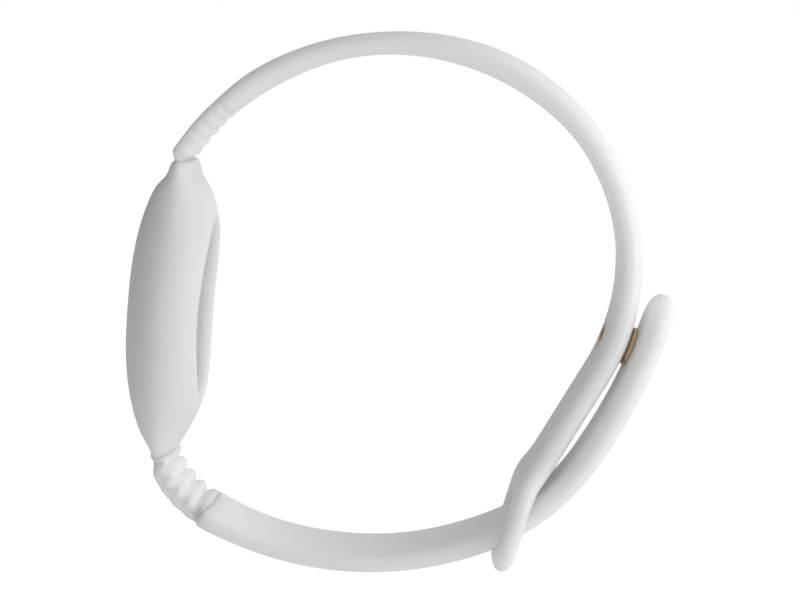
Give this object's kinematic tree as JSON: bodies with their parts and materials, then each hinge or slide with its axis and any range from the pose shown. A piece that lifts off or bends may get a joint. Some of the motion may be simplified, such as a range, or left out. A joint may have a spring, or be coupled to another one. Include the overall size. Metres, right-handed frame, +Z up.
{
  "type": "esd wrist strap",
  "caption": "Moulded silicone wrist band with ribbed necks, a loop and brass stud closure, and a pocket on the wrist side that holds a removable static discharge capsule.",
  "frame": {"origin": "centre of the wrist opening, half way across the band's width", "axes": "+X from the pocket towards the closure, +Y across the band's width, along the wrist, +Z up, towards the crown of the band"},
  "size_m": [0.0678, 0.017, 0.0678],
  "materials": {
    "silicone": "soft matte white silicone rubber",
    "brass": "turned brass, satin",
    "steel": "plain stainless steel",
    "contact_steel": "finely brushed stainless steel",
    "case_plastic": "fine spark-textured light grey plastic",
    "gasket": "black rubber",
    "board": "green solder mask",
    "resistor": "lacquered film resistor",
    "insulator": "natural nylon"
  },
  "bodies": {
    "band": {"pod_sleeve": "silicone", "pocket_lip": "silicone", "upper_neck": "silicone", "crown_strap": "silicone", "side_strap": "silicone", "punched_strap": "silicone", "straight_strap": "silicone", "keeper_loop": "silicone", "lower_neck": "silicone", "belly_strap": "silicone", "slot_strap": "silicone", "tail_bend": "silicone"},
    "tail": {"strap_tail": "silicone", "closure_stud": "brass", "stud_plate": "steel"},
    "capsule": {"capsule_tray": "case_plastic", "capsule_cover": "case_plastic", "case_gasket": "gasket", "case_screws": "steel", "circuit_board": "board", "spring_seat": "brass", "contact_spring": "steel", "limiting_resistor": "resistor", "needle_block": "insulator", "discharge_needles": "steel"},
    "contact": {"skin_contact": "contact_steel"}
  },
  "joints": [
    {"name": "tail_lift", "type": "hinge", "parent": "band", "child": "tail", "pos_m": [0.01975, 0, -0.02385], "axis": [0, 1, 0], "range_deg": [0, 60]},
    {"name": "capsule_release", "type": "slide", "parent": "band", "child": "capsule", "axis": [0.9956, 0, -0.0941], "range_m": [0, 0.012], "deforming": ["pocket_lip"]},
    {"name": "contact_press", "type": "slide", "parent": "capsule", "child": "contact", "axis": [-0.9956, 0, 0.0941], "range_m": [0, 0.0004], "stiffness_N_per_m": 400, "deforming": ["contact_spring"]}
  ]
}
